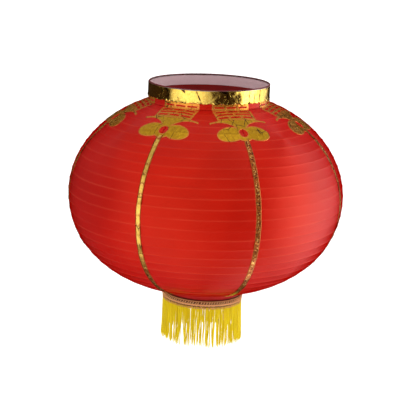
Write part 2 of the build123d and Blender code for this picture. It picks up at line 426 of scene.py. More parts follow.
def gold(name, rough, crinkle, outline, crack_width, metal=1.0):
    """Metallised film on cloth: warm gold, fine crinkles, dark cracks and orange outlines."""
    made, tree, shader, place = material(name, Metallic=metal, Specular_IOR_Level=0.3)
    uv = place.outputs["UV"]
    fine = noise(tree, uv, 260.0, 4.0, 0.6)
    cells = add(tree, "ShaderNodeTexVoronoi", {"Vector": uv, "Scale": crinkle}).outputs["Color"]
    facet = add(tree, "ShaderNodeSeparateColor", {0: cells}).outputs[0]
    crack = add(tree, "ShaderNodeTexVoronoi", {
        "Vector": stretched(tree, uv, (1.0, 0.6, 1.0)), "Scale": crinkle * 0.45, "Randomness": 1.0,
    }, feature="DISTANCE_TO_EDGE").outputs["Distance"]
    split = ramp(tree, crack, crack_width, crack_width * 0.3)
    fade = ramp(tree, noise(tree, uv, 45.0, 2.0), 0.48, 0.58)
    split = math_node(tree, "MULTIPLY", split, fade)
    pale = rgb(0.98, 0.64, 0.12) if outline else rgb(0.98, 0.70, 0.15)
    warm = mix(tree, ramp(tree, fine, 0.3, 0.7), rgb(0.86, 0.52, 0.08), pale)
    if outline:
        olive = mix(tree, ramp(tree, fine, 0.3, 0.75), rgb(0.56, 0.275, 0.004), rgb(0.80, 0.43, 0.012))
        warm = mix(tree, attribute(tree, "olive"), warm, olive)
        # Copper with bright flakes, laid on where the film is rubbed and where a dark reflection is
        # painted.
        flakes = add(tree, "ShaderNodeTexVoronoi", {"Vector": uv, "Scale": 620.0}).outputs["Color"]
        flake = add(tree, "ShaderNodeSeparateColor", {0: flakes}).outputs[1]
        copper = mix(tree, ramp(tree, flake, 0.15, 0.35), rgb(0.13, 0.025, 0.006), rgb(0.50, 0.125, 0.020))
        copper = mix(tree, ramp(tree, flake, 0.76, 0.88), copper, rgb(0.98, 0.52, 0.14))
        warm = mix(tree, attribute(tree, "worn"), warm, copper)
        edge = ramp(tree, attribute(tree, "edge"), outline, outline * 0.5)
        border = mix(tree, attribute(tree, "olive"), rgb(0.48, 0.12, 0.02), rgb(0.84, 0.27, 0.045))
        warm = mix(tree, edge, warm, border)
    colour = mix(tree, split, warm, rgb(0.05, 0.015, 0.004))
    height = math_node(tree, "ADD", facet, math_node(tree, "MULTIPLY", fine, 0.8))
    plug(tree, shader, Base_Color=colour, Normal=bump(tree, height, 0.00025, 0.6),
         Roughness=math_node(tree, "MULTIPLY_ADD", fine, 0.2, rough))
    return made


def wire(name, colour, rust):
    """Drawn wire: fine lengthwise scratches, patchy dull oxide."""
    made, tree, shader, place = material(name, Metallic=1.0)
    spot = place.outputs["Object"]
    patch = ramp(tree, noise(tree, spot, 90.0, 4.0), 0.45, 0.7)
    scratch = noise(tree, stretched(tree, spot, (300.0, 300.0, 2200.0)), 1.0, 3.0)
    plug(tree, shader, Base_Color=mix(tree, patch, colour, rust),
         Roughness=math_node(tree, "MULTIPLY_ADD", scratch, 0.35, 0.22),
         Normal=bump(tree, scratch, 0.00008, 0.5))
    return made


def woven(name, light, dark, threads, rough, sheen, depth=0.00018):
    """A plain weave seen from close: two sets of threads and slubs, with a faint sheen."""
    made, tree, shader, place = material(
        name, Roughness=rough, Specular_IOR_Level=0.25, Sheen_Weight=sheen, Sheen_Roughness=0.5)
    spot = place.outputs["Object"]
    values = {"Vector": spot, "Scale": threads, "Distortion": 0.4}
    up = add(tree, "ShaderNodeTexWave", values, bands_direction="Z").outputs["Fac"]
    over = add(tree, "ShaderNodeTexWave", values, bands_direction="DIAGONAL").outputs["Fac"]
    weave = math_node(tree, "MULTIPLY", up, over)
    slub = noise(tree, spot, 70.0, 4.0, 0.6)
    share = math_node(tree, "MULTIPLY_ADD", weave, 0.35, math_node(tree, "MULTIPLY", slub, 0.65))
    colour = mix(tree, ramp(tree, share, 0.15, 0.75), dark, light)
    plug(tree, shader, Base_Color=colour, Normal=bump(tree, weave, depth, 0.7))
    return made


def thread(name, light, dark, spark, twist, rough=0.42):
    """Twisted shiny yarn: each strand has its own shade, with slanted plies along it and a painted
    highlight on each ply.
    """
    made, tree, shader, place = material(
        name, Roughness=rough, Specular_IOR_Level=0.3, Specular_Tint=spark)
    uv = place.outputs["UV"]
    plies = add(tree, "ShaderNodeTexWave", {
        "Vector": stretched(tree, uv, (twist * 0.5, twist, 1.0)), "Scale": 1.0, "Distortion": 0.8,
    }, bands_direction="DIAGONAL").outputs["Fac"]
    hairs = noise(tree, stretched(tree, uv, (3000.0, 400.0, 1.0)), 1.0, 3.0)
    colour = mix(tree, attribute(tree, "shade"), dark, light)
    # Painted highlight: the ridge of each ply is lightened towards the spark colour.
    colour = mix(tree, math_node(tree, "MULTIPLY", ramp(tree, plies, 0.55, 0.95), 0.45), colour, spark)
    height = math_node(tree, "MULTIPLY_ADD", hairs, 0.4, plies)
    plug(tree, shader, Base_Color=colour, Normal=bump(tree, height, 0.0002, 0.5))
    return made


def board(name):
    """Stiff strip under the foil: pale, faintly fibrous and scuffed."""
    made, tree, shader, place = material(name, Specular_IOR_Level=0.3)
    spot = place.outputs["Object"]
    fibre = noise(tree, stretched(tree, spot, (120.0, 120.0, 900.0)), 1.0, 5.0)
    scuff = ramp(tree, noise(tree, spot, 40.0, 4.0), 0.5, 0.75)
    colour = mix(tree, fibre, rgb(0.62, 0.58, 0.53), rgb(0.80, 0.77, 0.72))
    colour = mix(tree, math_node(tree, "MULTIPLY", scuff, 0.4), colour, rgb(0.42, 0.35, 0.29))
    plug(tree, shader, Base_Color=colour, Normal=bump(tree, fibre, 0.0001, 0.5),
         Roughness=math_node(tree, "MULTIPLY_ADD", fibre, 0.2, 0.55))
    return made


STEEL = wire("drawn_steel", rgb(0.50, 0.49, 0.47), rgb(0.22, 0.15, 0.10))
BRIGHT_WIRE = wire("galvanised_wire", rgb(0.66, 0.66, 0.64), rgb(0.40, 0.40, 0.38))
LINING = woven("pale_lining", rgb(0.97, 0.66, 0.69), rgb(0.84, 0.55, 0.58), 950.0, 0.7, 0.2)
BINDING = woven("dark_binding", rgb(0.24, 0.022, 0.026), rgb(0.10, 0.008, 0.010), 900.0, 0.6, 0.03)
RED_TAPE = woven("red_tape", rgb(0.36, 0.006, 0.004), rgb(0.22, 0.003, 0.002), 900.0, 0.55, 0.04)
RED_COVER = woven("red_cover", rgb(0.54, 0.004, 0.001), rgb(0.44, 0.002, 0.001), 900.0, 0.5, 0.0)
HEADING = woven("fringe_tape", rgb(0.62, 0.42, 0.02), rgb(0.40, 0.25, 0.012), 700.0, 0.6, 0.3)
BOARD = board("stiff_strip")
COLLAR_GOLD = gold("collar_gold", 0.06, 120.0, 0.0, 0.07)
BAND_GOLD = gold("band_gold", 0.14, 190.0, 1.9, 0.035, 0.6)
BRAID_GROUND = woven("braid_ground", rgb(0.16, 0.024, 0.006), rgb(0.05, 0.007, 0.002), 700.0, 0.7, 0.0)
BRAID_GOLD = thread("braid_gold", rgb(0.92, 0.48, 0.18), rgb(0.58, 0.23, 0.06),
                    rgb(1.0, 0.74, 0.46), 2600.0)
YELLOW = thread("yellow_yarn", rgb(1.0, 0.80, 0.003), rgb(0.82, 0.56, 0.003),
                rgb(1.0, 0.88, 0.10), 1500.0)

SLOT_MATERIALS = {
    "steel_wire": STEEL,
    "expander_wire": BRIGHT_WIRE,
    "pale_lining": LINING,
    "dark_binding": BINDING,
    "yellow_thread": HEADING,
    "band_board": BOARD,
    "gold_foil": COLLAR_GOLD,
    "gimp_thread": BRAID_GROUND,
    "red_satin": RED_COVER,
}


def finish_cad_nodes():
    """Every CAD node gets the material of its slot, but for the hem tape, which is duller."""
    for part in frame["record"]["subparts"]:
        name = part["node"]
        made = RED_TAPE if name == "top_hem_tape" else SLOT_MATERIALS[part["material_slot"]]
        materials = frame["nodes"][name].data.materials
        materials.clear()
        materials.append(made)


def dress(obj, made, slot, body, *nodes):
    """Material, body and the CAD nodes that the piece stands for; the slot is not used."""
    obj.data.materials.append(made)
    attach(obj, body)
    if nodes:
        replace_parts(obj, *nodes)
    return obj


# ------------------------------------------------------------------ gores
COLUMNS = 32
ROW_SHARES = np.array([0.0, 0.05, 0.11, 0.30, 0.50, 0.70, 0.89, 0.95])
ROWS = np.concatenate([[(k + share) * PITCH for share in ROW_SHARES] for k in range(HOOPS + 1)])
ROWS = np.concatenate([ROWS, [LENGTH]])
SEAM_GAP = 0.1 * MM


def flatten(obj):
    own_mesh(obj)
    return obj


# How far the sheen of each gore is turned from upright, as a share of a full turn.
TURNS = (0.0, 0.01, 0.03, -0.02, 0.02, 0.0, -0.01)
# Painted sheen: brightness painted into each gore's cloth at its left and right seam, standing in for the
# light on each gore's satin.
GORE_PAINTED_SHEEN = (
    (1.06, 0.90), (1.00, 1.05), (1.04, 0.97), (0.97, 1.03),
    (1.05, 0.96), (0.98, 1.04), (0.88, 1.07),
)


def make_gore(k):
    gap = SEAM_GAP / BODY_RADIUS
    azimuth = np.linspace(seam(k) + gap, seam(k + 1) - gap, COLUMNS + 1)
    a, s = np.meshgrid(azimuth, ROWS)
    outer = skin(a, s).reshape(-1, 3)
    inner = skin(a, s, -CLOTH).reshape(-1, 3)
    verts, faces = thick(outer, inner, grid_faces(len(ROWS), COLUMNS + 1))
    # How close each point is to a hoop, for the painted highlight along the ribs.
    near = np.exp(-((hoop_distance(s) / (0.9 * MM)) ** 2)).ravel()
    uv = np.stack([a * BODY_RADIUS, s], -1).reshape(-1, 2)
    share = (a - azimuth[0]) / (azimuth[-1] - azimuth[0])
    # Painted sheen, from the gore's left seam to its right.
    nap = (GORE_PAINTED_SHEEN[k][0] + (GORE_PAINTED_SHEEN[k][1] - GORE_PAINTED_SHEEN[k][0]) * share).ravel()
    numbers = {"rib": np.tile(near, 2), "nap": np.tile(nap, 2)}
    obj = piece(f"satin_gore_{k + 1}", verts, faces, np.tile(uv, (2, 1)), **numbers)
    cloth = satin(f"red_satin_{k + 1}", TURNS[k])
    return dress(obj, cloth, "red_satin", "collar", f"gore_{k + 1}")


# ------------------------------------------------------------------ foil bands
# The motif is drawn in millimetres in plan: across the seam, and away from the axis.
MOTIF_GRID = 1.15
MOTIF_HALF = 44.0
LOBE_AT = (20, 141.5)
LOBE_RADII = (20, 12)
CENTRE_AT = (0, 142.5)
CENTRE_RADII = (14, 12)
HOLE_RADIUS = 6.3
BAR_TIP = (43, 115.4)
BAR_UNDERSIDE = ((43, 118.8), (17, 124), (7, 134))
FRET_HALF = 29.5
FRET_NEAR = 90.5
FRET_FAR = 115.0
FRET_BAR = 3.4
MOTIF_END = 158.0
FOIL_LIFT = 0.30 * MM
FOIL_UNDER = 0.04 * MM
FOIL_DIP = -0.04 * MM
FOIL_RISE = 0.45 * MM
STRIP_START_RADIUS = 150.5 * MM
STRIP_COLUMNS = 9


def ellipse(x, y, cx, cy, a, b):
    """About the distance inside an ellipse, in the units of its radii."""
    u, v = x - cx, y - cy
    k = np.hypot(u / a, v / b)
    slope = np.hypot(u / a**2, v / b**2)
    return (1 - k) * np.maximum(k, 1e-6) / np.maximum(slope, 1e-6)


def rectangle(x, y, x0, x1, y0, y1):
    return np.minimum(np.minimum(x - x0, x1 - x), np.minimum(y - y0, y1 - y))


def polygon(x, y, corners):
    """Distance inside a polygon, negative outside it."""
    away = np.full(x.shape, 1e9)
    inside = np.zeros(x.shape, bool)
    for (ax, ay), (bx, by) in zip(corners, corners[1:] + corners[:1]):
        dx, dy = bx - ax, by - ay
        share = np.clip(((x - ax) * dx + (y - ay) * dy) / (dx * dx + dy * dy), 0, 1)
        away = np.minimum(away, np.hypot(x - ax - share * dx, y - ay - share * dy))
        crosses = (ay > y) != (by > y)
        with np.errstate(divide="ignore", invalid="ignore"):
            inside ^= crosses & (x < ax + (y - ay) * dx / dy)
    return np.where(inside, away, -away)


def arc_through(a, b, c, steps=10):
    """Points along the circle through three points, from a to c."""
    (ax, ay), (bx, by), (cx, cy) = a, b, c
    d = 2 * (ax * (by - cy) + bx * (cy - ay) + cx * (ay - by))
    ux = ((ax**2 + ay**2) * (by - cy) + (bx**2 + by**2) * (cy - ay) + (cx**2 + cy**2) * (ay - by)) / d
    uy = ((ax**2 + ay**2) * (cx - bx) + (bx**2 + by**2) * (ax - cx) + (cx**2 + cy**2) * (bx - ax)) / d
    angles = np.unwrap([math.atan2(p[1] - uy, p[0] - ux) for p in (a, b, c)])
    size = math.hypot(ax - ux, ay - uy)
    turn = np.linspace(angles[0], angles[2], steps)
    return [(ux + size * math.cos(t), uy + size * math.sin(t)) for t in turn]


def flared_bar():
    """The bar between the lobes and the fret: its tips reach out level with the fret's end."""
    right = [BAR_TIP] + arc_through(*BAR_UNDERSIDE)
    left = [(-x, y) for x, y in reversed(right)]
    top = [(-FRET_HALF, FRET_FAR), (FRET_HALF, FRET_FAR)]
    return right + left + top


def fret(x, y):
    """Three rows of plain windows set like bricks, between bars."""
    shape = rectangle(x, y, -FRET_HALF, FRET_HALF, FRET_NEAR, FRET_FAR + 1)
    deep = (FRET_FAR - FRET_NEAR - 4 * FRET_BAR) / 3
    for row, count in enumerate((3, 2, 3)):
        low = FRET_NEAR + FRET_BAR + row * (deep + FRET_BAR)
        wide = (2 * FRET_HALF - (count + 1) * FRET_BAR) / count
        for column in range(count):
            left = -FRET_HALF + FRET_BAR + column * (wide + FRET_BAR)
            window = rectangle(x, y, left, left + wide, low, low + deep)
            shape = np.minimum(shape, -window)
    return shape


def motif_depth(x, y):
    """Distance inside the motif's outline, in millimetres."""
    aside, lobe_y = LOBE_AT
    lobes = np.maximum(
        ellipse(x, y, aside, lobe_y, *LOBE_RADII),
        ellipse(x, y, -aside, lobe_y, *LOBE_RADII),
    )
    lobes = np.maximum(lobes, ellipse(x, y, *CENTRE_AT, *CENTRE_RADII))
    shape = np.maximum(lobes, polygon(x, y, flared_bar()))
    shape = np.minimum(shape, -ellipse(x, y, 0, lobe_y, HOLE_RADIUS, HOLE_RADIUS))
    return np.maximum(shape, fret(x, y))


def clipped_grid(xs, ys, depth):
    """The part of a grid where depth is positive: its points, faces and depths."""
    points, values, faces, known = [], [], [], {}

    def corner(i, j):
        if (i, j) not in known:
            known[i, j] = len(points)
            points.append((xs[j], ys[i]))
            values.append(depth[i, j])
        return known[i, j]

    def crossing(p, q):
        key = (min(p, q), max(p, q))
        if key not in known:
            (a, b), (c, d) = key
            share = depth[a, b] / (depth[a, b] - depth[c, d])
            known[key] = len(points)
            points.append((xs[b] + share * (xs[d] - xs[b]), ys[a] + share * (ys[c] - ys[a])))
            values.append(0.0)
        return known[key]

    for i in range(len(ys) - 1):
        for j in range(len(xs) - 1):
            around_cell = [(i, j), (i, j + 1), (i + 1, j + 1), (i + 1, j)]
            face = []
            for p, q in zip(around_cell, around_cell[1:] + around_cell[:1]):
                if depth[p] > 0:
                    face.append(corner(*p))
                if (depth[p] > 0) != (depth[q] > 0):
                    face.append(crossing(p, q))
            if len(face) > 2:
                faces.append(tuple(face))
    return np.array(points), faces, np.array(values)


def motif_mesh():
    xs = np.arange(-MOTIF_HALF, MOTIF_HALF + MOTIF_GRID, MOTIF_GRID) + 0.013
    ys = np.arange(FRET_NEAR - MOTIF_GRID, MOTIF_END, MOTIF_GRID) + 0.017
    x, y = np.meshgrid(xs, ys)
    return clipped_grid(xs, ys, motif_depth(x, y))


MOTIF = motif_mesh()


def on_band(k, across, s, lift, seed):
    """A point of band k: across is metres from the seam, s metres down the meridian."""
    r = meridian(s)[0]
    azimuth = seam(k) + across / r
    place = around(r, azimuth, s)
    crease = creases(s, across + 0.02, 260, LENGTH, 0.04, (0.03, 0.10), (0.002, 0.006), seed)
    crease = np.clip(crease, FOIL_DIP, FOIL_RISE)
    return skin(azimuth, s, lift + crease + 0.05 * MM * ripple(place, 0.005, seed))


def strip_tilt(k, across, s):
    """Each stretch between two hoops lies at its own slight angle."""
    rng = np.random.default_rng(70 + k)
    tilt = rng.normal(0, 0.07, HOOPS + 2)
    index = np.clip((s / PITCH).astype(int), 0, HOOPS)
    fade = np.clip(hoop_distance(s) / (1.2 * MM), 0, 1)
    return (across * tilt[index] + STRIP_HALF * MM * np.abs(tilt[index])) * fade


# Painted dark reflection: how far down each band its film is painted coppery, in metres.
DARK_REFLECTION_FROM = (0.235, -0.02, 0.02, 0.24, 0.20, 0.12, 0.05)
# Painted dark reflection: how coppery each band's motif is painted, from 0 to 1.
MOTIF_DARK_REFLECTION = (0.0, 0.0, 0.75, 0.1, 0.0, 0.2, 0.6)


def wear_and_reflection_share(k, s, x):
    """0 bright to 1 coppery: painted dark reflection from a height down, and rubbed over the hoops and in
    scattered patches, stronger towards the top.
    """
    rng = np.random.default_rng(170 + k)
    rubbed = rng.uniform(0.3, 1, HOOPS + 2)[np.clip(np.round(s / PITCH).astype(int), 0, HOOPS + 1)]
    over_hoop = rubbed * np.exp(-((hoop_distance(s) / (2.3 * MM)) ** 2))
    patches = np.clip(ripple(np.stack([s, x, x * 0], -1), 0.007, 180 + k) - 0.55, 0, 1) * 1.2
    upper = np.clip(1.3 - s / (120 * MM), 0.25, 1)
    # Painted dark reflection: coppery from each band's own height down.
    below = np.clip((s - DARK_REFLECTION_FROM[k]) / (60 * MM), 0, 1)
    return np.clip(np.maximum(below, over_hoop + patches * upper), 0, 1)


def make_strip(k):
    start = float(shoulder_distance(STRIP_START_RADIUS))
    rows = np.unique(np.concatenate([[start], ROWS[ROWS > start + 0.0004]]))
    more = (rows[1:] + rows[:-1]) / 2
    rows = np.sort(np.concatenate([rows, more]))
    across = np.linspace(-STRIP_HALF, STRIP_HALF, STRIP_COLUMNS) * MM
    x, s = np.meshgrid(across, rows)
    lean = strip_tilt(k, x, s)
    edge = ripple(np.stack([s, x * 0, x * 0], -1), 0.012, 90 + k) * 0.12 * MM
    wide = x * (1 + edge / (STRIP_HALF * MM))
    top = on_band(k, wide, s, FOIL_LIFT * 0.7 + lean, 40 + k).reshape(-1, 3)
    low = on_band(k, wide, s, FOIL_UNDER - 0.1 * MM + lean, 40 + k).reshape(-1, 3)
    verts, faces = thick(top, low, grid_faces(len(rows), len(across)))
    inside = (STRIP_HALF - np.abs(x) / MM).ravel()
    uv = np.stack([x + 0.1 * k, s], -1).reshape(-1, 2)
    return verts, faces, inside, uv, wear_and_reflection_share(k, s, x).ravel()


def make_motif(k):
    plan, faces, depth = MOTIF
    x, y = plan[:, 0] * MM, plan[:, 1] * MM
    radius = np.hypot(x, y)
    s = shoulder_distance(radius)
    turn = -np.arctan2(x, y)
    across = turn * meridian(s)[0]
    top = on_band(k, across, s, FOIL_LIFT, 50 + k)
    low = on_band(k, across, s, FOIL_UNDER, 50 + k)
    flipped = [tuple(reversed(f)) for f in faces]
    verts, faces = thick(top, low, flipped)
    return verts, faces, depth, np.stack([x + 0.1 * k, y], -1)


def make_band(k):
    strip, motif = make_strip(k), make_motif(k)
    verts, faces, _ = joined([strip[:2], motif[:2]])
    edge = np.concatenate([np.tile(strip[2], 2), np.tile(motif[2], 2)])
    olive = np.concatenate([np.zeros(2 * len(strip[2])), np.ones(2 * len(motif[2]))])
    uv = np.concatenate([np.tile(strip[3], (2, 1)), np.tile(motif[3], (2, 1))])
    # A motif is painted coppery all over, as a dark reflection, by its band's share.
    worn = np.concatenate([np.tile(strip[4], 2), np.full(2 * len(motif[2]), MOTIF_DARK_REFLECTION[k])])
    obj = piece(f"gold_band_{k + 1}", verts, faces, uv, edge=edge, olive=olive, worn=worn)
    return dress(obj, BAND_GOLD, "gold_foil", "collar", f"foil_band_{k + 1}")


# The hem, and the fret's last row and its windows up it, in millimetres from the gores.
HEM_RISE = 8.2
HEM_WINDOW = (2.2, 4.4)
HEM_SKIRT = 0.25 * MM


def make_hem():
    """The cloth turned up outside the collar: it rises out of the gores with a small fillet."""
    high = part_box("collar_hem")[1]
    columns, rows = 360, 11
    turn = np.arange(columns) * 2 * math.pi / columns
    rise = np.linspace(1, 0, rows) ** 1.5 * (high.z + 1.2 * MM - COLLAR_BASE_Z) - HEM_SKIRT
    a, v = np.meshgrid(turn, rise)
    fillet = 1.5 * MM * np.clip(1 - (v + HEM_SKIRT) / (2.6 * MM), 0, 1) ** 2
    place = around(high.x, a, v)
    r = high.x - 0.15 * MM + fillet + 0.10 * MM * ripple(place * (1, 1, 0.3), 0.007, 160)
    outer = around(r, a, COLLAR_BASE_Z + v).reshape(-1, 3)
    inner = around(r - 0.25 * MM, a, COLLAR_BASE_Z + v).reshape(-1, 3)
    verts, faces = thick(outer, inner, grid_faces(rows, columns, ring=True))
    uv = np.tile(np.stack([a * high.x, v], -1).reshape(-1, 2), (2, 1))
    obj = piece("turned_up_hem", verts, faces, uv, rib=np.zeros(len(verts)), nap=np.ones(len(verts)))
    return dress(obj, satin("hem_satin", 0.0), "red_satin", "collar", "collar_hem")


def hem_fret_depth(x, v):
    """Inside the bars of the fret's last row, which climbs the hem: v is millimetres up it."""
    half = FRET_HALF - 0.6
    shape = rectangle(x, v, -half, half, -1.5, HEM_RISE)
    wide = (2 * half - 4 * FRET_BAR) / 3
    for column in range(3):
        left = -half + FRET_BAR + column * (wide + FRET_BAR)
        shape = np.minimum(shape, -rectangle(x, v, left, left + wide, *HEM_WINDOW))
    return shape


def make_hem_fret():
    """The top of each motif, glued up the outside of the collar under the foil wrap."""
    xs = np.arange(-31.0, 31.0, MOTIF_GRID) + 0.013
    vs = np.arange(-1.0, HEM_RISE + 2, 0.9) + 0.017
    x, v = np.meshgrid(xs, vs)
    plan, faces, depth = clipped_grid(xs, vs, hem_fret_depth(x, v))
    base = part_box("collar_hem")[1].x
    parts, edges, uvs = [], [], []
    for k in range(GORES):
        turn = seam(k) + plan[:, 0] * MM / base
        z = COLLAR_BASE_Z + plan[:, 1] * MM
        rough = 0.12 * MM * ripple(around(base, turn, z), 0.006, 150 + k)
        foot = 1.1 * MM * np.clip(1 - plan[:, 1] / 2.2, 0, 1) ** 2
        outer = around(base + 0.28 * MM + rough + foot, turn, z)
        inner = around(base + 0.05 * MM + rough * 0.4 + foot, turn, z)
        parts.append(thick(outer, inner, faces))
        edges.append(np.tile(depth, 2))
        uvs.append(np.tile(plan * MM + (0.1 * k, 0.3), (2, 1)))
    verts, faces, _ = joined(parts)
    edge = np.concatenate(edges)
    olive = np.ones(len(verts))
    obj = piece("gold_hem_fret", verts, faces, np.concatenate(uvs), edge=edge, olive=olive)
    return dress(obj, BAND_GOLD, "gold_foil", "collar")


# ------------------------------------------------------------------ collar
# How far the foil stands above the CAD's, and the radius inside the rim's binding.
FOIL_ABOVE = 0.7 * MM
RIM_INNER = 88.8 * MM


def make_collar_foil():
    """Crumpled film round the collar, smooth in places and turned under at its lower edge."""
    low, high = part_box("collar_foil_wrap")
    radius, bottom, top = high.x, low.z, high.z
    columns, rows = 520, 26
    turn = np.arange(columns) * 2 * math.pi / columns
    down = np.linspace(0, 1, rows)
    a, d = np.meshgrid(turn, down)
    lap = 2 * math.pi * radius
    height = top - bottom
    z = top + FOIL_ABOVE - d * (height + FOIL_ABOVE)
    broad = creases(a * radius, z - bottom, 70, lap, height, (0.02, 0.08), (0.008, 0.02), 21)
    small = creases(a * radius, z - bottom, 320, lap, height, (0.03, 0.13), (0.002, 0.005), 22)
    patch = np.clip(0.25 + 0.9 * ripple(around(radius, a, z * 0), 0.09, 23), 0.08, 1)
    hem = np.exp(-(((d - 1) / 0.12) ** 2))
    ring = around(radius, a, z)
    r = radius + 0.1 * MM + np.clip(broad + small * patch, -0.35 * MM, 0.9 * MM)
    r = r + hem * (0.5 + 0.5 * ripple(ring, 0.005, 24)) * MM
    z = z + hem * 0.8 * MM * ripple(ring * (1, 1, 0), 0.012, 25)
    outer = around(r, a, z).reshape(-1, 3)
    inner = around(r - 0.15 * MM, a, z).reshape(-1, 3)
    verts, faces = thick(outer, inner, grid_faces(rows, columns, ring=True))
    uv = np.stack([a * radius, z], -1).reshape(-1, 2)
    obj = piece("crumpled_collar_foil", verts, faces, np.tile(uv, (2, 1)))
    return dress(obj, COLLAR_GOLD, "gold_foil", "collar", "collar_foil_wrap")


def make_rim_binding():
    """A narrow folded edge over the rim wire, slightly uneven."""
    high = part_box("rim_binding")[1]
    middle = (high.x + RIM_INNER) / 2
    verts, faces, uv = loop_tube(
        middle, high.z - 1.0 * MM, 2.0, sides=14, steps=360, flat=1.25, wobble=0.05, seed=31)
    obj = piece("folded_rim_binding", verts, faces, uv)
    return dress(obj, BINDING, "dark_binding", "collar", "rim_binding")


# ------------------------------------------------------------------ braid
# The ground stands above the CAD's braid, and braid and fringe are lower on the right.
GROUND_ABOVE = 1.3 * MM
ASLANT = 1.6 * MM


def braid_box():
    low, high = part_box("gimp_braid")
    return low.z, high.z, high.x


def make_braid_ground():
    low, high, radius = braid_box()
    columns, rows = 300, 13
    turn = np.arange(columns) * 2 * math.pi / columns
    down = np.linspace(0, 1, rows)
    a, d = np.meshgrid(turn, down)
    top = high + GROUND_ABOVE
    z = top - d * (top - low - 0.3 * MM)
    ring = around(radius, a, z)
    rough = 0.25 * MM * np.sin(a * 150) * np.sin(d * 40) + 0.12 * MM * ripple(ring, 0.004, 33)
    r = radius - 1.75 * MM + rough
    outer = around(r, a, aslant(a, z)).reshape(-1, 3)
    inner = around(np.full_like(a, radius - 2.4 * MM), a, aslant(a, z)).reshape(-1, 3)
    verts, faces = thick(outer, inner, grid_faces(rows, columns, ring=True))
    uv = np.tile(np.stack([a * radius, z], -1).reshape(-1, 2), (2, 1))
    obj = piece("braid_ground", verts, faces, uv)
    return dress(obj, BRAID_GROUND, "gimp_thread", "foot", "gimp_braid")


def yarn_piece(name, parts, shades, body, made, slot):
    """Tubes joined into one piece, each with its own shade and its own place in the UV map."""
    verts, faces, owner = joined([p[:2] for p in parts])
    uv = np.concatenate([p[2] for p in parts])
    obj = piece(name, verts, faces, uv, shade=np.asarray(shades)[owner])
    return dress(obj, made, slot, body)


def tube_uv(path, radii, sides):
    """Along the tube in metres, and round it."""
    steps = np.concatenate([[0], np.cumsum(np.linalg.norm(np.diff(path, axis=0), axis=1))])
    turn = np.arange(sides) / sides
    radii = np.broadcast_to(radii, len(path))
    u = turn[None, :] * 2 * math.pi * radii.max()
    shape = (len(path), sides)
    uv = np.stack([np.broadcast_to(u, shape), np.broadcast_to(steps[:, None], shape)], -1)
    return np.concatenate([uv.reshape(-1, 2), [(0, 0), (0, steps[-1])]])


def yarn(path, radii, sides, flat=1.0, up=None):
    verts, faces = tube(path, radii, sides, flat, up)
    return verts, faces, tube_uv(path, radii, sides)


def aslant(turn, z):
    """The braid and fringe are glued on a little unevenly: lower on the right."""
    return z - ASLANT * np.cos(turn)


def on_braid(turn, z, out):
    _, _, radius = braid_box()
    return around(radius - out * MM, turn, aslant(turn, z))


def make_braid_cords():
    """Three plies twisted into the middle cord, and a thin two-ply cord along each edge."""
    low, high, _ = braid_box()
    middle = low + 6.3 * MM
    parts, shades = [], []
    turn = np.linspace(0, 2 * math.pi, 901)
    for ply in range(3):
        phase = ply * 2 * math.pi / 3
        twist = turn * 62 + phase
        path = on_braid(turn, middle + 0.85 * MM * np.sin(twist), 0.85 - 0.35 * np.cos(twist))
        parts.append(yarn(path, 0.62 * MM, 6))
        shades.append(0.85 - 0.1 * ply)
    upper = (high - 0.8 * MM, 0.35, 1.2, 0.45, 0.15)
    lower = (low + 0.8 * MM, 0.3, 1.3, 0.4, 0.2)
    for z, swing, out, thickness, shade in (upper, lower):
        for ply in range(2):
            twist = turn * 110 + ply * math.pi
            path = on_braid(turn, z + swing * MM * np.sin(twist), out - 0.3 * np.cos(twist))
            parts.append(yarn(path, thickness * MM, 6))
            shades.append(shade)
    return yarn_piece("braid_cords", parts, shades, "foot", BRAID_GOLD, "gimp_thread")


def make_braid_stitches():
    """Slanted bead-like stitches above the middle cord and looser loops below it."""
    rng = np.random.default_rng(35)
    low, _, radius = braid_box()
    upper, lower = low + 9.5 * MM, low + 3.1 * MM
    parts, shades = [], []
    beads = 94
    for i in range(beads):
        at = (i + rng.normal(0, 0.06)) * 2 * math.pi / beads
        t = np.linspace(-1, 1, 9)
        turn = at + t * 1.15 * MM / radius
        z = upper + t * 1.5 * MM
        path = on_braid(turn, z, 1.0 - 0.55 * (1 - t**2))
        parts.append(yarn(path, (0.25 + 0.55 * np.sqrt(np.clip(1 - t**2, 0, 1))) * MM, 7))
        shades.append(rng.uniform(0.45, 1.0))
    loops = 84
    for i in range(loops):
        at = (i + rng.normal(0, 0.12)) * 2 * math.pi / loops
        t = np.linspace(0, math.pi * rng.uniform(1.7, 2.0), 13)
        wide = rng.uniform(1.1, 1.5) * MM
        turn = at + np.sin(t) * wide / radius
        z = lower + np.cos(t) * rng.uniform(1.3, 1.9) * MM
        path = on_braid(turn, z, 1.15 - 0.3 * np.sin(t / 2))
        parts.append(yarn(path, 0.42 * MM, 6))
        shades.append(rng.uniform(0.1, 0.9))
    return yarn_piece("braid_stitches", parts, shades, "foot", BRAID_GOLD, "gimp_thread")


# ------------------------------------------------------------------ fringe
# Each layer's radius in millimetres, its number of strands and its share of the full length.
FRINGE_LAYERS = ((60.9, 205, 1.0), (60.0, 190, 0.97), (59.3, 80, 0.95))
FRINGE_CLUMPS = 105
FRINGE_REACH = 63.2 * MM
FRINGE_TUCK = 3 * MM


def fringe_strand(rng, start, radius, top, length, clump):
    """One hanging strand: it drifts towards its clump, waves a little and thins at its end."""
    t = np.linspace(0, 1, 15)
    drift = (clump - start) * (t**1.2) * rng.uniform(0.15, 0.9)
    wave = rng.uniform(0.2, 1.3) * MM / radius * np.sin(t * rng.uniform(2, 7) + rng.uniform(0, 6))
    out = rng.normal(0.9, 0.45) * t + 0.5 * np.sin(t * rng.uniform(2, 5) + rng.uniform(0, 6)) * t
    r = np.clip(radius + out * MM, None, FRINGE_REACH)
    path = around(r, start + drift + wave * t, aslant(start, top) - length * t)
    size = rng.uniform(0.45, 0.68) * MM * (1 - 0.55 * np.clip((t - 0.9) / 0.1, 0, 1))
    return yarn(path, size, 6)


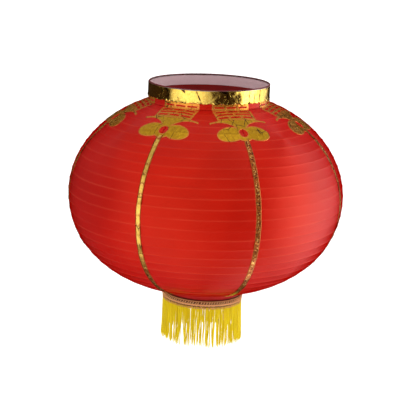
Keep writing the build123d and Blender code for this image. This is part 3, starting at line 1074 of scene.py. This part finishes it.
def make_fringe():
    rng = np.random.default_rng(41)
    low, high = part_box("fringe_skirt")
    top = high.z + FRINGE_TUCK
    full = high.z - low.z
    clumps = np.sort(rng.uniform(0, 2 * math.pi, FRINGE_CLUMPS))
    parts, shades = [], []
    for radius, count, share in FRINGE_LAYERS:
        for i in range(count):
            start = (i + rng.normal(0, 0.25)) * 2 * math.pi / count
            gaps = (clumps - start + math.pi) % (2 * math.pi) - math.pi
            clump = start + gaps[np.argmin(np.abs(gaps))]
            length = full * share * (1 - abs(rng.normal(0, 0.06))) + FRINGE_TUCK
            parts.append(fringe_strand(rng, start, radius * MM, top, length, clump))
            shades.append(np.clip(rng.normal(0.62 * share, 0.28), 0, 1))
    obj = yarn_piece("hanging_fringe", parts, shades, "foot", YELLOW, "yellow_thread")
    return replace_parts(obj, "fringe_skirt")


# ------------------------------------------------------------------ studio
CAMERA_TURN = math.radians(2.7)
CAMERA_RISE = math.radians(12.5)
CAMERA_ROLL = math.radians(2.0)
CAMERA_DISTANCE = 2.1
CAMERA_LENS = 123.3
CAMERA_SHIFT = (-0.0143, -0.0210)
FLOOR_Z = -1.6


def make_camera():
    data = bpy.data.cameras.new("camera")
    camera = bpy.data.objects.new("camera", data)
    bpy.context.scene.collection.objects.link(camera)
    flat = math.cos(CAMERA_RISE)
    back = Vector((
        math.sin(CAMERA_TURN) * flat,
        -math.cos(CAMERA_TURN) * flat,
        math.sin(CAMERA_RISE),
    ))
    aim = (-back).to_track_quat("-Z", "Y").to_matrix()
    roll = Matrix.Rotation(CAMERA_ROLL, 3, "Z")
    camera.matrix_world = Matrix.Translation(
        Vector((0, 0, EQUATOR_Z)) + back * CAMERA_DISTANCE) @ (aim @ roll).to_4x4()
    data.lens = CAMERA_LENS
    data.sensor_width = 36
    data.shift_x, data.shift_y = CAMERA_SHIFT
    data.clip_start, data.clip_end = 0.05, 60
    bpy.context.scene.camera = camera


def make_light(name, azimuth, rise, distance, width, height, power, glossy=True):
    """A soft box aimed at the lantern: azimuth is measured from the front towards the right."""
    data = bpy.data.lights.new(name, "AREA")
    data.shape, data.size, data.size_y = "RECTANGLE", width, height
    data.energy = power
    light = bpy.data.objects.new(name, data)
    bpy.context.scene.collection.objects.link(light)
    a, e = math.radians(azimuth), math.radians(rise)
    way = Vector((math.sin(a) * math.cos(e), -math.cos(a) * math.cos(e), math.sin(e)))
    light.location = Vector((0, 0, EQUATOR_Z)) + way * distance
    light.rotation_euler = (-way).to_track_quat("-Z", "Y").to_euler()
    light.visible_glossy = glossy


def band_node(tree, value, start, end, soft):
    """1 between start and end, fading over soft on either side."""
    rise = ramp(tree, value, start - soft, start + soft)
    fall = ramp(tree, value, end + soft, end - soft)
    return math_node(tree, "MULTIPLY", rise, fall)


def make_world():
    """White to the camera, an even dome to diffuse rays, and soft boxes to glossy ones."""
    world = bpy.data.worlds.new("studio")
    world.use_nodes = True
    bpy.context.scene.world = world
    tree = world.node_tree
    tree.nodes.clear()
    way = add(tree, "ShaderNodeTexCoord").outputs["Generated"]
    split = add(tree, "ShaderNodeSeparateXYZ", {0: way})
    x, y, z = (split.outputs[i] for i in range(3))
    turn = math_node(tree, "ARCTAN2", x, math_node(tree, "MULTIPLY", y, -1.0))
    level = ramp(tree, z, 0.35, 0.70)
    left = band_node(tree, turn, math.radians(-72), math.radians(6), 0.14)
    fading = ramp(tree, turn, math.radians(30), math.radians(-50))
    left = math_node(tree, "MULTIPLY", left, math_node(tree, "MULTIPLY_ADD", fading, 0.6, 0.45))
    right = band_node(tree, turn, math.radians(66), math.radians(136), 0.22)
    right = math_node(tree, "MULTIPLY", right, 1.35)
    boxes = math_node(tree, "ADD", left, right)
    dark = math_node(tree, "MULTIPLY_ADD", boxes, 1.25, 0.03)
    mixed = add(tree, "ShaderNodeMix", {0: level, 2: dark, 3: 0.36}, data_type="FLOAT").outputs[0]
    tint = mix(tree, ramp(tree, mixed, 0.03, 0.4), rgb(1.0, 0.52, 0.30), rgb(1, 1, 1))
    under = math_node(tree, "MULTIPLY_ADD", ramp(tree, z, 0.1, -0.6), 0.16, 0.82)
    rays = add(tree, "ShaderNodeLightPath")
    mirrored = add(tree, "ShaderNodeBackground", {"Color": tint, "Strength": mixed})
    dome = add(tree, "ShaderNodeBackground", {"Color": rgb(1, 1, 1), "Strength": under})
    scene_light = add(tree, "ShaderNodeMixShader", {
        0: rays.outputs["Is Glossy Ray"], 1: dome.outputs[0], 2: mirrored.outputs[0]})
    seen = add(tree, "ShaderNodeBackground", {"Color": rgb(1, 1, 1), "Strength": 1.0})
    both = add(tree, "ShaderNodeMixShader", {
        0: rays.outputs["Is Camera Ray"], 1: scene_light.outputs[0], 2: seen.outputs[0]})
    add(tree, "ShaderNodeOutputWorld", {"Surface": both.outputs[0]})


def make_floor():
    """A wide pale floor far below the hanging lantern, which gives it no light."""
    half, steps = 30.0, 24
    span = np.linspace(-half, half, steps)
    x, y = np.meshgrid(span, span)
    verts = np.stack([x, y, np.full_like(x, FLOOR_Z)], -1).reshape(-1, 3)
    faces = [tuple(reversed(f)) for f in grid_faces(steps, steps)]
    floor = piece("floor", verts, faces, smooth=False)
    made, tree, shader, place = material(
        "pale_floor", Roughness=0.8, Specular_IOR_Level=0.1,
        Emission_Color=rgb(1, 1, 1), Emission_Strength=0.6)
    tone = noise(tree, place.outputs["Object"], 3.0, 2.0)
    plug(tree, shader, Base_Color=mix(tree, tone, rgb(0.90, 0.90, 0.90), rgb(0.94, 0.94, 0.94)))
    floor.data.materials.append(made)
    floor.visible_glossy = False
    floor.visible_diffuse = False


# ------------------------------------------------------------------ build
finish_cad_nodes()
gores = [make_gore(k) for k in range(GORES)]
bands = [make_band(k) for k in range(GORES)]
make_hem()
make_hem_fret()
collar_foil = make_collar_foil()
binding = make_rim_binding()
ground = make_braid_ground()
cords = make_braid_cords()
stitches = make_braid_stitches()
fringe = make_fringe()

for k, (gore, band) in enumerate(zip(gores, bands)):
    flatten(gore)
    flatten(band)

make_camera()
make_world()
make_floor()
make_light("key_right", 84, 0, 2.2, 1.4, 2.4, 17)
make_light("fill_left", -30, -4, 2.4, 1.8, 2.4, 5)
make_light("top_soft", 10, 75, 2.2, 1.8, 1.8, 4)
make_light("front_low", 4, -40, 1.6, 0.7, 0.7, 2.6, glossy=False)
bpy.context.scene.view_settings.view_transform = "Standard"
